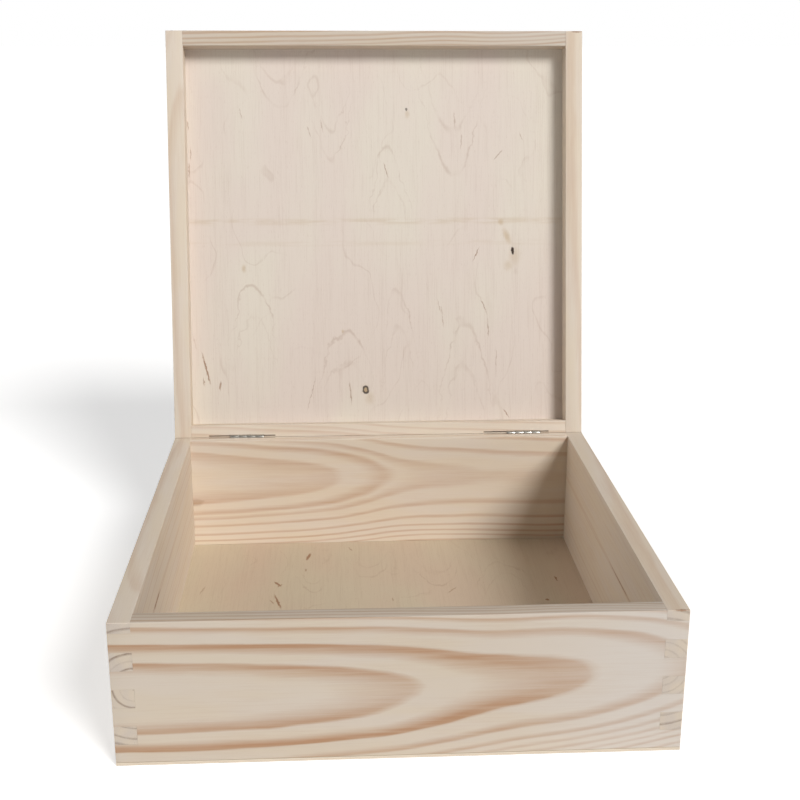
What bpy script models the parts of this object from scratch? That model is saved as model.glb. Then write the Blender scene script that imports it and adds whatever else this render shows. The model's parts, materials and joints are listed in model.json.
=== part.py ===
"""A square, shallow toy box of unfinished pine with a lid on two small press-in hinges.

The four walls are finger jointed. The carcass was glued up whole and then sawn apart
through one finger, so the base and the lid each end in part of that finger at the rim.
A plywood sheet is glued over the underside of the base and another over the top of the lid.

Metres, +Z up, the front faces -Y. The origin is the centre of the base's underside.
The lid stands open, leaning back on the bevelled rear edges that stop it.
"""

import math

import bmesh
import bpy
from mathutils import Matrix

# Outer sizes of the closed box.
BOX_WIDTH = 0.300
BOX_DEPTH = 0.294
BASE_HEIGHT = 0.083
LID_HEIGHT = 0.0165

# Stock.
PLYWOOD = 0.002
SIDE_BOARD = 0.012
END_BOARD = 0.0105
FINGER = 0.0107
BASE_CHANGEOVERS = 7
LID_RIM_FINGER = 0.0038
FIT_GAP = 0.0003
CUTTER_EXTRA = 0.001

# Hinge line: at the rims, just in front of the back face.
AXIS_FROM_BACK = 0.0018
AXIS_Y = BOX_DEPTH / 2 - AXIS_FROM_BACK
AXIS_Z = BASE_HEIGHT + FIT_GAP / 2
OPEN_DEGREES = 102.5
BEVEL_TOE = 0.0004

# Each half has a saw slot per hinge, cut by plunging a small disc into the rim.
SLOT_CENTRES = (-0.101, 0.101)
SLOT_LENGTH = 0.0485
SLOT_DEPTH = 0.012
SLOT_FROM_AXIS = (0.00045, 0.00165)

# Hinges: two leaves with two knuckles each, on one pin.
HINGE_CENTRES = {"left": -0.0975, "right": 0.1065}
HINGE_WIDTH = 0.0244
KNUCKLES = 4
KNUCKLE_GAP = 0.0003
KNUCKLE_RADIUS = 0.00135
KNUCKLE_BORE = 0.0007
PIN_RADIUS = 0.00065
PIN_LENGTH = 0.0242
LEAF_FROM_AXIS = (0.00075, 0.00133)
LEAF_SHOULDER = 0.00168
LEAF_EDGE_REACH = 0.0052
LEAF_MIDDLE_REACH = 0.0072
BARB = 0.0004
BARB_COUNT = 3
TAB_INSET = 0.0001
ROUND_STEPS = 48
SLOT_STEPS = 160

PINE = (0.86, 0.74, 0.58)
PINE_PALE = (0.90, 0.80, 0.66)
BIRCH = (0.84, 0.75, 0.64)
NICKEL = (0.72, 0.71, 0.69)


def clear_scene():
    for obj in list(bpy.data.objects):
        bpy.data.objects.remove(obj)


def make_material(name, color, metallic, roughness):
    material = bpy.data.materials.new(name)
    material.use_nodes = True
    shader = material.node_tree.nodes["Principled BSDF"]
    shader.inputs["Base Color"].default_value = (*color, 1.0)
    shader.inputs["Metallic"].default_value = metallic
    shader.inputs["Roughness"].default_value = roughness
    return material


def wood(name, color):
    return make_material(name, color, 0.0, 0.6)


def nickel(name):
    return make_material(name, NICKEL, 1.0, 0.3)


def object_from(name, bm, material=None, parent=None):
    """Turns a bmesh into a named object, faces outward."""
    bmesh.ops.recalc_face_normals(bm, faces=bm.faces)
    mesh = bpy.data.meshes.new(name)
    bm.to_mesh(mesh)
    bm.free()
    obj = bpy.data.objects.new(name, mesh)
    bpy.context.scene.collection.objects.link(obj)
    obj.parent = parent
    if material:
        mesh.materials.append(material)
    return obj


def prism(outline, low, high, axis):
    """A bmesh prism: a 2-D outline standing between two values along X or Y.

    Along X the outline's points are (y, z); along Y they are (x, z).
    """
    bm = bmesh.new()
    rings = []
    for value in (low, high):
        if axis == "X":
            rings.append([bm.verts.new((value, a, b)) for a, b in outline])
        else:
            rings.append([bm.verts.new((a, value, b)) for a, b in outline])
    bm.faces.new(rings[0])
    bm.faces.new(reversed(rings[1]))
    count = len(outline)
    for i in range(count):
        j = (i + 1) % count
        bm.faces.new((rings[0][i], rings[1][i], rings[1][j], rings[0][j]))
    return bm


def make_cutter(name, bm, parent=None):
    obj = object_from(name, bm, parent=parent)
    obj.hide_render = True
    obj.display_type = "WIRE"
    return obj


def combine(obj, other, operation):
    modifier = obj.modifiers.new(f"{operation.lower()} {other.name}", "BOOLEAN")
    modifier.operation = operation
    modifier.solver = "EXACT"
    modifier.object = other


def finger_rows(levels, first_is_end_board, end_board):
    """The rows of one board as [low, high, reaches_out], with half the fit gap taken off each finger.

    levels are the heights where the fingers of the two boards change over.
    """
    rows = []
    for i in range(len(levels) - 1):
        end_board_row = (i % 2 == 0) == first_is_end_board
        rows.append([levels[i], levels[i + 1], end_board_row == end_board])
    for below, above in zip(rows, rows[1:]):
        shift = -FIT_GAP / 2 if below[2] else FIT_GAP / 2
        below[1] += shift
        above[0] += shift
    return rows


def finger_outline(rows, long_half, short_half):
    """An outline with fingers at both ends, symmetric about zero."""
    right = []
    for low, high, reaches_out in rows:
        half = long_half if reaches_out else short_half
        right += [(half, low), (half, high)]
    return right + [(-a, z) for a, z in reversed(right)]


def end_board(name, rows, front, material, parent=None, middle_y=0.0):
    """The front or back wall of a half whose middle is at middle_y under its parent."""
    outline = finger_outline(rows, BOX_WIDTH / 2, BOX_WIDTH / 2 - SIDE_BOARD - FIT_GAP)
    obj = object_from(name, prism(outline, -END_BOARD / 2, END_BOARD / 2, "Y"), material, parent)
    offset = (BOX_DEPTH - END_BOARD) / 2
    obj.location.y = middle_y - offset if front else middle_y + offset
    return obj


def side_board(name, rows, left, material, parent=None, middle_y=0.0):
    """The left or right wall of a half whose middle is at middle_y under its parent."""
    outline = finger_outline(rows, BOX_DEPTH / 2, BOX_DEPTH / 2 - END_BOARD - FIT_GAP)
    obj = object_from(name, prism(outline, -SIDE_BOARD / 2, SIDE_BOARD / 2, "X"), material, parent)
    offset = (BOX_WIDTH - SIDE_BOARD) / 2
    obj.location = (-offset if left else offset, middle_y, 0.0)
    return obj


def plywood_sheet(name, low, material, parent=None, middle_y=0.0):
    half = BOX_WIDTH / 2
    outline = [(-half, 0.0), (half, 0.0), (half, PLYWOOD), (-half, PLYWOOD)]
    obj = object_from(name, prism(outline, -BOX_DEPTH / 2, BOX_DEPTH / 2, "Y"), material, parent)
    obj.location = (0.0, middle_y, low)
    return obj


def on_axis(obj):
    """Puts a piece made about the hinge line in place on the base."""
    obj.location = (0.0, AXIS_Y, AXIS_Z)


def rear_bevel_cutter(name, side, parent=None):
    """Cuts the rear edge of a rim so that the open lid's bevel lies flat along the base's.

    side is -1 for the base, which is below the hinge line, and 1 for the lid.
    """
    slope = math.radians(OPEN_DEGREES / 2)
    clearance = FIT_GAP / 2
    reach = AXIS_FROM_BACK + CUTTER_EXTRA
    half_width = BOX_WIDTH / 2 + CUTTER_EXTRA

    def height(y):
        return side * (clearance + y * math.sin(slope)) / math.cos(slope)

    start = -clearance * math.tan(slope / 2)
    outline = [
        (start, side * clearance),
        (reach, height(reach)),
        (reach, -side * CUTTER_EXTRA),
        (-BEVEL_TOE, -side * CUTTER_EXTRA),
        (-BEVEL_TOE, side * clearance / 2),
        (start, side * clearance / 2),
    ]
    return make_cutter(name, prism(outline, -half_width, half_width, "X"), parent)


def slot_cutter(name, centre, side, parent=None):
    """The disc that a saw slot was plunged with."""
    radius = ((SLOT_LENGTH / 2) ** 2 + SLOT_DEPTH**2) / (2 * SLOT_DEPTH)
    height = side * (FIT_GAP / 2 + SLOT_DEPTH - radius)
    outline = []
    for i in range(SLOT_STEPS):
        angle = 2 * math.pi * (i + 0.5) / SLOT_STEPS
        outline.append((centre + radius * math.cos(angle), height + radius * math.sin(angle)))
    near, far = SLOT_FROM_AXIS
    return make_cutter(name, prism(outline, -far, -near, "Y"), parent)


def barrel_cutter(name, centre, parent=None):
    """Room in a rim for the barrel of one hinge."""
    half = HINGE_WIDTH / 2 + FIT_GAP
    outline = circle(KNUCKLE_RADIUS + FIT_GAP)
    return make_cutter(name, prism(outline, centre - half, centre + half, "X"), parent)


def circle(radius):
    points = []
    for i in range(ROUND_STEPS):
        angle = 2 * math.pi * (i + 0.5) / ROUND_STEPS
        points.append((radius * math.cos(angle), radius * math.sin(angle)))
    return points


def cut_rim(boards, back_board, side, half_name, parent=None):
    """Bevels the rear edge of the boards and cuts the hinge slots into the back one."""
    cutters = [rear_bevel_cutter(f"{half_name}_bevel_cutter", side, parent)]
    for board in boards:
        combine(board, cutters[0], "DIFFERENCE")
    for label, slot_centre in zip(HINGE_CENTRES, SLOT_CENTRES):
        slot = slot_cutter(f"{half_name}_{label}_slot_cutter", slot_centre, side, parent)
        barrel = barrel_cutter(f"{half_name}_{label}_barrel_cutter", HINGE_CENTRES[label], parent)
        combine(back_board, slot, "DIFFERENCE")
        combine(back_board, barrel, "DIFFERENCE")
        cutters += [slot, barrel]
    if parent is None:
        for cutter in cutters:
            on_axis(cutter)


def build_base():
    levels = [PLYWOOD + FIT_GAP]
    levels += [PLYWOOD + FINGER * (i + 1) for i in range(BASE_CHANGEOVERS)]
    levels.append(BASE_HEIGHT)
    end_rows = finger_rows(levels, first_is_end_board=True, end_board=True)
    side_rows = finger_rows(levels, first_is_end_board=True, end_board=False)
    end_board("base_front_board", end_rows, True, wood("pine_base_front", PINE))
    back = end_board("base_back_board", end_rows, False, wood("pine_base_back", PINE))
    left = side_board("base_left_board", side_rows, True, wood("pine_base_left", PINE_PALE))
    right = side_board("base_right_board", side_rows, False, wood("pine_base_right", PINE_PALE))
    plywood_sheet("base_plywood_bottom", 0.0, wood("birch_plywood_bottom", BIRCH))
    cut_rim([back, left, right], back, -1, "base")


def build_lid(lid_axis):
    """The lid is laid out closed, about the hinge line, and swings open with lid_axis."""
    rim = FIT_GAP / 2
    sheet_low = rim + LID_HEIGHT - PLYWOOD
    levels = [rim, rim + LID_RIM_FINGER, sheet_low - FIT_GAP]
    end_rows = finger_rows(levels, first_is_end_board=False, end_board=True)
    side_rows = finger_rows(levels, first_is_end_board=False, end_board=False)
    place = {"parent": lid_axis, "middle_y": -AXIS_Y}
    end_board("lid_front_board", end_rows, True, wood("pine_lid_front", PINE), **place)
    back = end_board("lid_back_board", end_rows, False, wood("pine_lid_back", PINE), **place)
    left = side_board("lid_left_board", side_rows, True, wood("pine_lid_left", PINE_PALE), **place)
    right = side_board("lid_right_board", side_rows, False, wood("pine_lid_right", PINE_PALE), **place)
    plywood_sheet("lid_plywood_panel", sheet_low, wood("birch_plywood_panel", BIRCH), **place)
    cut_rim([back, left, right], back, 1, "lid", lid_axis)


def leaf_outline(tabs, side):
    """The flat of a leaf in (x, z): tabs up to its knuckles, barbed edges and a blunt point."""
    half = HINGE_WIDTH / 2
    top = [(-half + BARB, LEAF_SHOULDER)]
    for low, high in tabs:
        top += [(low, LEAF_SHOULDER), (low, 0.0), (high, 0.0), (high, LEAF_SHOULDER)]
    top.append((half - BARB, LEAF_SHOULDER))
    edge = []
    step = (LEAF_EDGE_REACH - LEAF_SHOULDER) / BARB_COUNT
    for i in range(BARB_COUNT):
        low = LEAF_SHOULDER + step * i
        edge += [(half, low + step * 0.2), (half - BARB, low + step)]
    point = half - (LEAF_MIDDLE_REACH - LEAF_EDGE_REACH) - BARB
    right = [*edge, (point, LEAF_MIDDLE_REACH)]
    left = [(-x, z) for x, z in reversed(right)]
    return [(x, side * z) for x, z in top + right + left]


def hinge_leaf(name, centre, side, first_knuckle, material, parent=None):
    """One leaf with its two knuckles, made about the pin."""
    length = (HINGE_WIDTH - KNUCKLE_GAP * (KNUCKLES - 1)) / KNUCKLES
    spans = []
    for i in range(first_knuckle, KNUCKLES, 2):
        low = -HINGE_WIDTH / 2 + i * (length + KNUCKLE_GAP)
        spans.append((low, low + length))
    flat = leaf_outline([(low + TAB_INSET, high - TAB_INSET) for low, high in spans], side)
    near, far = LEAF_FROM_AXIS
    leaf = object_from(name, prism(flat, -far, -near, "Y"), material, parent)
    parts = [leaf]
    for number, (low, high) in enumerate(spans):
        knuckle = make_cutter(f"{name}_knuckle_{number}", ring(low, high), parent)
        combine(leaf, knuckle, "UNION")
        parts.append(knuckle)
    for part in parts:
        if parent is None:
            on_axis(part)
        part.location.x = centre
    smooth(leaf)
    return leaf


def ring(low, high):
    """A tube along X."""
    bm = bmesh.new()
    loops = []
    for radius in (KNUCKLE_RADIUS, KNUCKLE_BORE):
        for x in (low, high):
            loops.append([bm.verts.new((x, y, z)) for y, z in circle(radius)])
    outer_low, outer_high, bore_low, bore_high = loops
    around = [outer_low, outer_high, bore_high, bore_low, outer_low]
    for near, far in zip(around, around[1:]):
        for i in range(ROUND_STEPS):
            j = (i + 1) % ROUND_STEPS
            bm.faces.new((near[i], near[j], far[j], far[i]))
    return bm


def hinge_pin(name, centre, material):
    """A plain pin with eased ends."""
    bm = bmesh.new()
    bmesh.ops.create_cone(
        bm,
        cap_ends=True,
        segments=ROUND_STEPS,
        radius1=PIN_RADIUS,
        radius2=PIN_RADIUS,
        depth=PIN_LENGTH,
        matrix=Matrix.Rotation(math.pi / 2, 4, "Y"),
    )
    rims = [edge for edge in bm.edges if abs(edge.verts[0].co.x - edge.verts[1].co.x) < PIN_RADIUS / 10]
    bmesh.ops.bevel(bm, geom=rims, offset=PIN_RADIUS * 0.3, segments=2, affect="EDGES")
    pin = object_from(name, bm, material)
    on_axis(pin)
    pin.location.x = centre
    smooth(pin)


def smooth(obj):
    obj.data.shade_smooth()
    obj.data.set_sharp_from_angle(angle=math.radians(35))


def build_hinges(lid_axis):
    for label, centre in HINGE_CENTRES.items():
        hinge_leaf(f"{label}_hinge_base_leaf", centre, -1, 0, nickel(f"nickel_{label}_base_leaf"))
        hinge_leaf(f"{label}_hinge_lid_leaf", centre, 1, 1, nickel(f"nickel_{label}_lid_leaf"), lid_axis)
        hinge_pin(f"{label}_hinge_pin", centre, nickel(f"nickel_{label}_pin"))


def main():
    clear_scene()
    lid_axis = bpy.data.objects.new("lid_axis", None)
    bpy.context.scene.collection.objects.link(lid_axis)
    lid_axis.location = (0.0, AXIS_Y, AXIS_Z)
    lid_axis.rotation_euler.x = -math.radians(OPEN_DEGREES)
    build_base()
    build_lid(lid_axis)
    build_hinges(lid_axis)


main()
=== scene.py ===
"""The wooden toy box as it looks: unfinished pine, birch plywood and small nickel-plated hinges.

Each board is one plank with its own growth rings. The rings are solid: a material measures how
far each point lies from the tree's pith, so a plank's faces, edges and finger ends agree, and the
lid's boards carry on the rings of the base's boards that they were sawn from.

Metres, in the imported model's frame. Grain is given in millimetres, on a plank's own axes:
X along the grain, Y inward from the outer face, Z up from the underside of the closed box.
"""

import json
import math

import bmesh
import bpy
from mathutils import Matrix, Vector


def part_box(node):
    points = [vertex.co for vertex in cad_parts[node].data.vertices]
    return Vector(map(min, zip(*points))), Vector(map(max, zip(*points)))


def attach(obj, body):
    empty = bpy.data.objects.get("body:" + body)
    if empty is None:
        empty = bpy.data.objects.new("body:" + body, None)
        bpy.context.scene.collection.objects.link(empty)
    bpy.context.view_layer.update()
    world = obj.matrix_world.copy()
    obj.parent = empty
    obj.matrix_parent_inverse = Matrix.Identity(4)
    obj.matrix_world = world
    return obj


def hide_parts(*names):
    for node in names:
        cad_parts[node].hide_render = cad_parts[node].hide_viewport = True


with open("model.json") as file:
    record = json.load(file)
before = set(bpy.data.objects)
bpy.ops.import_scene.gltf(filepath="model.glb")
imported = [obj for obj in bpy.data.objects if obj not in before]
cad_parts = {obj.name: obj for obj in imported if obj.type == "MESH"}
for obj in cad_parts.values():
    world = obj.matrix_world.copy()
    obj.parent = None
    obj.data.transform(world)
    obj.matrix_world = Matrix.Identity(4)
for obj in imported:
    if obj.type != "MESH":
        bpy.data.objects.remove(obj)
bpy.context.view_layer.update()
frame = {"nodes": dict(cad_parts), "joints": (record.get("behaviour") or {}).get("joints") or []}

MM = 0.001

# --- Sizes, lights and colours ------------------------------------------------------------------

# Joinery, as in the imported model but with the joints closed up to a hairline.
FINGER = 0.0107
BASE_CHANGEOVERS = 7
LID_RIM_FINGER = 0.0038
HAIRLINE = 0.00006
GLUE_LINE = 0.00012
ARRIS = 0.0003
ARRIS_STEPS = 3
PLY_ARRIS = 0.00025
PLY_ARRIS_STEPS = 2
TOUCHING = MM / 100
# How far a face's normal must point along or up for end grain, or for a sheet's upper or lower face.
LOOKS_ALONG = 0.7
LOOKS_UP = 0.9
# Edges are shaded smooth up to this angle, in degrees.
SHARP_FROM = 30

# Saw slots for the hinge leaves, from the hinge line toward the front, and the rolled knuckles.
HINGES = ("left", "right")
SLOT_CENTRES = (-0.101, 0.101)
SLOT_LENGTH = 0.0485
SLOT_DEPTH = 0.012
SLOT_FROM_AXIS = (0.0007, 0.00138)
SLOT_STEPS = 96
BARREL_STEPS = 32
BARREL_ROOM = 0.00165
BARREL_CLEARANCE = 0.0003
KNUCKLES = 4
LEAF_KNUCKLE_GAP = 0.0003
KNUCKLE_LONGER = 0.00006
KNUCKLE_RADIUS = 0.00142
KNUCKLE_ROUNDING = 0.0002
ROUNDING_STEPS = 3

# The photograph's viewpoint, with angles in degrees and lens and sensor in millimetres.
CAMERA_PLACE = (-0.0321, -0.7209, 0.3738)
CAMERA_YAW = -3.095
CAMERA_PITCH = -16.924
CAMERA_ROLL = 0.112
CAMERA_LENS = 55.77
CAMERA_SENSOR = 36
CAMERA_NEAREST = 0.01

# Light comes from the right, over the photographer's shoulder.
KEY_TOWARD = (0.46, -0.69, 0.61)
KEY_SPREAD = 22
KEY_STRENGTH = 2.55
FILL_TOWARD = (-1.0, 0.05, 0.5)
FILL_SPREAD = 50
FILL_STRENGTH = 0.7
LAMP_COLOR = (1.0, 0.99, 0.975)
WHITE = (1.0, 1.0, 1.0, 1.0)
WORLD_STRENGTH = 0.12
BACKDROP_STRENGTH = 1.0
FLOOR_REACH = 20
FLOOR_GREY = (0.9, 0.9, 0.9, 1.0)
FLOOR_GLOW = 0.5
FLOOR_BOUNCE_GLOW = 0.1

# Colours are sRGB, 0 to 255. The woods' are earlywood and latewood.
WOOD_COLORS = {
    "face": ((221, 208, 193), (188, 147, 114)),
    "end": ((201, 189, 177), (118, 94, 78)),
    "worn": ((225, 213, 199), (196, 160, 130)),
}
YELLOWER = (222, 204, 174)
PALER = (224, 215, 206)
VENEER_COLORS = ((225, 212, 202), (226, 217, 204))
FLOOR_COLORS = ((207, 187, 165), (206, 192, 168))
STREAK = (150, 108, 76)
KNOT = (58, 44, 36)
HALO = (196, 172, 138)
# A glue line with painted contact shade, for the plywood's edge arrises.
GLUE_AND_SHADE = (158, 140, 116)
FACE_PLY_COLORS = ((240, 231, 217), (226, 213, 194))
CROSS_PLY = (196, 172, 142)
SCORCH_COLORS = ((168, 128, 92), (104, 70, 46))
NICKEL_COLORS = ((222, 221, 216), (188, 185, 176))

WOOD_SPECULAR = 0.35
PINE_ROUGHNESS = (0.58, 0.72)
VENEER_ROUGHNESS = (0.56, 0.68)
EDGE_ROUGHNESS = 0.7
SLOT_ROUGHNESS = 0.85
NICKEL_ROUGHNESS = (0.26, 0.42)
FLOOR_ROUGHNESS = 0.9

# How far the grain stands up, in metres.
PINE_RELIEF = 0.00004
VENEER_RELIEF = 0.00003
EDGE_RELIEF = 0.00004
SLOT_RELIEF = 0.00005

# Noise lies mostly around 0.5. These spans spread it out, from gently to sharply.
GENTLY = (0.2, 0.8)
FIRMLY = (0.3, 0.7)
SHARPLY = (0.35, 0.65)
# A seed moves a noise this way. Each noise adds a step of its own to its material's seed.
SEED_DIRECTION = (1.0, 1.7, 2.3)

# --- Shaders ------------------------------------------------------------------------------------

# The numbers of a Mix node's colour sockets.
MIX_COLOR_A = 6
MIX_COLOR_B = 7
MIX_COLOR = 2


def linear(color, tone=1.0):
    """An sRGB colour, 0 to 255, darkened or lightened by tone, as the linear RGBA a shader takes."""
    channels = []
    for value in color:
        share = value * tone / 255
        low = share / 12.92
        high = ((share + 0.055) / 1.055) ** 2.4
        channels.append(low if share <= 0.04045 else high)
    return (*channels, 1.0)


class Shader:
    """A material's node tree, with short ways to add nodes and join them."""

    def __init__(self, name):
        self.material = bpy.data.materials.new(name)
        self.material.use_nodes = True
        self.tree = self.material.node_tree
        self.surface = self.tree.nodes["Principled BSDF"]

    def put(self, socket, value):
        """Links another node's output to the socket, or sets its value."""
        if isinstance(value, bpy.types.NodeSocket):
            self.tree.links.new(value, socket)
        else:
            socket.default_value = value

    def node(self, kind, inputs, **settings):
        """A new node. inputs go to its sockets, by name or number, and settings to the node itself."""
        node = self.tree.nodes.new("ShaderNode" + kind)
        for key, value in settings.items():
            setattr(node, key, value)
        for key, value in inputs.items():
            self.put(node.inputs[key], value)
        return node

    def set(self, name, value):
        """Sets or links an input of the surface itself."""
        self.put(self.surface.inputs[name], value)

    def object_mm(self):
        """The point's place on the piece's own axes, in millimetres."""
        place = self.tree.nodes.new("ShaderNodeTexCoord").outputs["Object"]
        return self.vector("SCALE", place, scale=1 / MM)

    def math(self, operation, *values):
        inputs = dict(enumerate(values))
        return self.node("Math", inputs, operation=operation).outputs[0]

    def vector(self, operation, *values, scale=None):
        inputs = dict(enumerate(values))
        if scale is not None:
            inputs["Scale"] = scale
        node = self.node("VectorMath", inputs, operation=operation)
        return node.outputs["Value" if operation == "LENGTH" else "Vector"]

    def split(self, vector):
        return self.node("SeparateXYZ", {0: vector}).outputs

    def join(self, x, y, z):
        return self.node("CombineXYZ", {0: x, 1: y, 2: z}).outputs[0]

    def noise(self, place, size, seed=0.0, detail=2.0, roughness=0.5):
        """Noise from 0 to 1. size is about how long, wide and high its patches are."""
        scaled = self.vector("MULTIPLY", place, tuple(1 / length for length in size))
        moved = self.vector("ADD", scaled, tuple(seed * share for share in SEED_DIRECTION))
        inputs = {"Vector": moved, "Scale": 1.0, "Detail": detail, "Roughness": roughness}
        return self.node("TexNoise", inputs).outputs["Fac"]

    def centred(self, value, size):
        """A noise value turned into a swing of about size either way."""
        return self.math("MULTIPLY", self.math("SUBTRACT", value, 0.5), 2 * size)

    def between(self, value, low, high, to_low=0.0, to_high=1.0, kind="SMOOTHSTEP"):
        """Turns values from low to high into values from to_low to to_high, and holds at both ends."""
        inputs = {
            "Value": value,
            "From Min": low,
            "From Max": high,
            "To Min": to_low,
            "To Max": to_high,
        }
        return self.node("MapRange", inputs, interpolation_type=kind).outputs[0]

    def curve(self, value, points, low, high):
        """A smooth curve through points (value, result), with value from low to high."""
        top = max(result for _, result in points)
        node = self.node("FloatCurve", {"Value": self.between(value, low, high, kind="LINEAR")})
        curve = node.mapping.curves[0]
        ordered = sorted(((v - low) / (high - low), result / top) for v, result in points)
        curve.points[0].location = ordered[0]
        curve.points[1].location = ordered[-1]
        for place in ordered[1:-1]:
            curve.points.new(*place)
        node.mapping.update()
        return self.math("MULTIPLY", node.outputs[0], top)

    def ramp(self, value, stops):
        """A level that changes evenly between stops of (place, level), from 0 to 1."""
        node = self.node("ValToRGB", {"Fac": value})
        elements = node.color_ramp.elements
        elements.remove(elements[1])
        for i, (place, level) in enumerate(stops):
            element = elements.new(place) if i else elements[0]
            element.position = place
            element.color = (level, level, level, 1.0)
        return node.outputs["Color"]

    def mix(self, factor, a, b):
        """Colour a where factor is 0 and b where it is 1."""
        inputs = {"Factor": factor, MIX_COLOR_A: a, MIX_COLOR_B: b}
        return self.node("Mix", inputs, data_type="RGBA").outputs[MIX_COLOR]

    def bump(self, height, relief):
        """Where height is 1 the surface stands relief metres proud."""
        inputs = {"Height": height, "Distance": relief, "Strength": 1.0}
        self.set("Normal", self.node("Bump", inputs).outputs["Normal"])


class Plank:
    """Where a plank lay in the tree, and its rings.

    pith_depth: (x, distance) of the pith from the outer face. toward is 1 where the pith lies
    outside that face and -1 where it lies on the inner side. pith_height: (x, z) of the pith.
    rings: (radius where the solid latewood ends, its width, the widths over which it darkens
    before that and fades after it, and how dark it is). tone darkens or lightens the whole plank,
    and pale_end is how far its right end turns to paler sapwood. face_contrast and lid_contrast
    are how strongly its rings show on long grain, and in the lid. stains are brown spots of pith
    or bark: (centre, half sizes, strength).
    """

    def __init__(
        self,
        name,
        pith_depth,
        pith_height,
        toward,
        rings,
        seed,
        tone=1.0,
        pale_end=0.0,
        face_contrast=1.0,
        lid_contrast=1.0,
        stains=(),
    ):
        self.name = name
        self.pith_depth = pith_depth
        self.pith_height = pith_height
        self.toward = toward
        self.rings = rings
        self.tone = tone
        self.pale_end = pale_end
        self.face_contrast = face_contrast
        self.lid_contrast = lid_contrast
        self.stains = stains
        self.seed = seed


# --- Pine ---------------------------------------------------------------------------------------

# The front plank's rings open to the left, in two wide tongues and a third beyond them.
FRONT = Plank(
    "front",
    pith_depth=[(-150, 40), (-75, 41), (-25, 43), (-5, 44.1), (50, 48.6), (102, 51.2), (150, 56.4)],
    pith_height=[(-150, 39.5), (-75, 39), (-25, 40), (25, 42), (75, 46), (102, 48), (150, 52)],
    toward=1.0,
    rings=[
        (45.1, 0.5, 2.4, 0.5, 0.75),
        (50.9, 0.9, 2.4, 0.5, 0.9),
        (56.8, 0.5, 1.8, 0.6, 0.62),
        (60.9, 0.4, 1.1, 0.5, 0.5),
        (63.6, 0.3, 0.9, 0.5, 0.4),
        (66.0, 0.3, 0.8, 0.5, 0.4),
        (68.2, 0.2, 0.7, 0.4, 0.4),
        (70.6, 0.3, 0.8, 0.4, 0.5),
        (73.4, 0.3, 0.8, 0.4, 0.45),
        (76.5, 0.3, 0.8, 0.4, 0.5),
    ],
    seed=1.0,
    tone=0.935,
    pale_end=0.9,
    lid_contrast=1.5,
)
# The back plank is seen from inside, where its rings open the same way.
BACK = Plank(
    "back",
    pith_depth=[
        (-150, 39),
        (-112, 38.7),
        (-62, 38.3),
        (-12, 36.5),
        (13, 33.6),
        (38, 31.0),
        (88, 28.5),
        (150, 25.5),
    ],
    pith_height=[(-150, 50), (-112, 51), (-62, 53), (-12, 54), (38, 54), (88, 54), (150, 55)],
    toward=1.0,
    rings=[
        (41.9, 0.5, 3.4, 0.7, 0.48),
        (46.3, 0.4, 1.7, 0.8, 0.52),
        (49.0, 0.3, 1.3, 0.6, 0.42),
        (53.2, 0.3, 1.1, 0.6, 0.5),
        (58.2, 0.3, 1.0, 0.6, 0.55),
        (61.9, 0.3, 0.7, 0.5, 0.55),
        (64.9, 0.3, 0.7, 0.5, 0.55),
        (67.5, 0.3, 0.6, 0.4, 0.55),
        (70.4, 0.3, 0.6, 0.4, 0.55),
        (73.4, 0.3, 0.6, 0.4, 0.5),
    ],
    lid_contrast=0.4,
    seed=7.0,
    tone=1.02,
    stains=[((136, 10.5, 36), (8, 4, 4), 0.3)],
)
# The side planks hold the pith itself, near their inner faces.
LEFT = Plank(
    "left",
    pith_depth=[(-147, 13.6), (0, 12.6), (70, 11.8), (147, 12.2)],
    pith_height=[(-147, 50), (0, 51), (60, 51), (147, 45.8)],
    toward=-1.0,
    rings=[
        (1.3, 0.9, 0.3, 0.6, 0.55),
        (7.6, 0.2, 0.6, 0.5, 0.18),
        (11.6, 0.5, 0.7, 0.4, 0.6),
        (15.6, 0.2, 0.6, 0.5, 0.15),
        (20.0, 0.5, 0.8, 0.4, 0.6),
        (23.6, 0.3, 0.8, 0.4, 0.4),
        (30.0, 0.4, 0.9, 0.4, 0.45),
        (34.4, 0.3, 1.3, 0.5, 0.5),
        (38.6, 0.2, 0.8, 0.6, 0.2),
        (42.4, 0.2, 0.8, 0.6, 0.25),
    ],
    face_contrast=0.5,
    stains=[((57, 12, 51), (19, 3, 1.5), 0.75)],
    seed=13.0,
)
RIGHT = Plank(
    "right",
    pith_depth=[(-147, 13.5), (0, 12.6), (147, 12.0)],
    pith_height=[(-147, 50), (0, 50), (147, 52)],
    toward=-1.0,
    rings=[
        (1.3, 0.9, 0.3, 0.6, 0.55),
        (7.0, 0.2, 0.6, 0.5, 0.2),
        (11.0, 0.3, 0.7, 0.5, 0.18),
        (15.2, 0.2, 0.6, 0.5, 0.2),
        (19.0, 0.3, 0.8, 0.5, 0.2),
        (24.2, 0.3, 0.8, 0.5, 0.2),
        (29.0, 0.4, 1.6, 0.5, 0.3),
        (34.3, 0.3, 1.2, 0.5, 0.5),
        (38.6, 0.2, 0.8, 0.6, 0.2),
        (43.0, 0.2, 0.8, 0.6, 0.2),
    ],
    face_contrast=0.5,
    stains=[((-44, 12, 50), (34, 3, 0.8), 0.7), ((-147, 4.5, 83.4), (1.6, 5.5, 1.5), 0.75)],
    seed=19.0,
)

# Along a plank, how far its pith's curves reach either way, and where a pale end fades in.
PLANK_REACH = 150.0
SAPWOOD_FROM_TO = (40.0, 135.0)
SAPWOOD_FADES_RINGS = 0.25
SAPWOOD_PATCHES = (0.7, 1.1)
SAPWOOD_IN_LID = 0.2
# How far either side of the base's rim its looks give way to the lid's.
LID_FADE = 3.0
LARGEST_RADIUS = 80.0
RINGS_PER_RAMP = 7
# A ring that a face cuts at less than this slant looks paler, down to this share.
THIN_CUT_SLANT = 0.35
THIN_CUT = 0.6
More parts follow.
